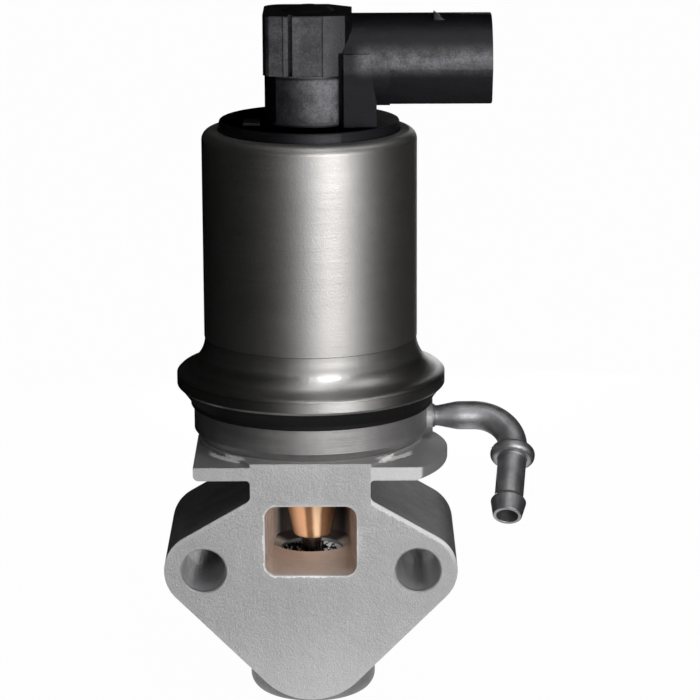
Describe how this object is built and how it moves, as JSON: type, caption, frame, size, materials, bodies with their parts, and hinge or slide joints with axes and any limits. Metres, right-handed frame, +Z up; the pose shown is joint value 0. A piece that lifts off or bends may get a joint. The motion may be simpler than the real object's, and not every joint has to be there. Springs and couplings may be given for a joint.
{
  "type": "exhaust gas recirculation valve",
  "caption": "Solenoid-driven poppet valve that meters exhaust gas back to an engine's intake, with flange body, vent nipple and side connector.",
  "frame": {"origin": "centre of the front mounting face, midway between the two bolt holes", "axes": "+X towards the connector mouth and the vent pipe, +Y back from the mounting face into the valve, +Z up along the valve stem"},
  "size_m": [0.0759, 0.0554, 0.145],
  "materials": {
    "cast_aluminium": "shot-blasted casting with machined faces",
    "turned_metal": "fine turned satin",
    "can_steel": "drawn steel with a warm satin plating",
    "pipe_steel": "plated tube, satin",
    "hard_steel": "ground",
    "zinc_steel": "zinc plated",
    "spring_steel": "oiled wire",
    "magnet_iron": "turned soft iron, nickel plated",
    "sleeve_metal": "drawn non-magnetic tube",
    "bronze": "turned bronze, heat tinted",
    "black_rubber": "moulded, matt",
    "cap_plastic": "glass-filled, moulded, slight sheen",
    "bobbin_plastic": "natural moulded",
    "copper": "enamelled wire",
    "contact_metal": "tinned contact alloy",
    "track_plate": "printed resistive plate"
  },
  "bodies": {
    "housing": {"valve_body": "cast_aluminium", "adapter_ring": "turned_metal", "solenoid_can": "can_steel", "vent_pipe": "pipe_steel", "seat_ring": "hard_steel", "bottom_plug": "zinc_steel", "ring_screws": "zinc_steel", "spring_seat": "zinc_steel", "return_spring": "spring_steel", "sensor_spring": "spring_steel", "pole_base": "magnet_iron", "fixed_core": "magnet_iron", "top_yoke": "magnet_iron", "guide_sleeve": "sleeve_metal", "stem_guide": "bronze", "body_seal": "black_rubber", "cap_seal": "black_rubber", "stem_seal": "black_rubber", "connector_cap": "cap_plastic", "sensor_lid": "cap_plastic", "coil_bobbin": "bobbin_plastic", "coil_winding": "copper", "connector_pins": "contact_metal", "sensor_track": "track_plate"},
    "valve": {"valve_stem": "hard_steel", "valve_head": "hard_steel", "armature": "magnet_iron", "spring_retainer": "zinc_steel", "retainer_clip": "zinc_steel"},
    "sensor": {"sensor_plunger": "bobbin_plastic", "sensor_wiper": "contact_metal"}
  },
  "joints": [
    {"name": "valve_stroke", "type": "slide", "parent": "housing", "child": "valve", "axis": [0, 0, -1], "range_m": [0, 0.0045], "stiffness_N_per_m": 2500, "springref_m": -0.003, "deforming": ["return_spring"]},
    {"name": "sensor_stroke", "type": "slide", "parent": "housing", "child": "sensor", "axis": [0, 0, -1], "range_m": [0, 0.0045], "stiffness_N_per_m": 60, "springref_m": 0.012, "deforming": ["sensor_spring"]}
  ],
  "couplings": [
    {"joint": "sensor_stroke", "follows": "valve_stroke", "ratio": 1}
  ]
}
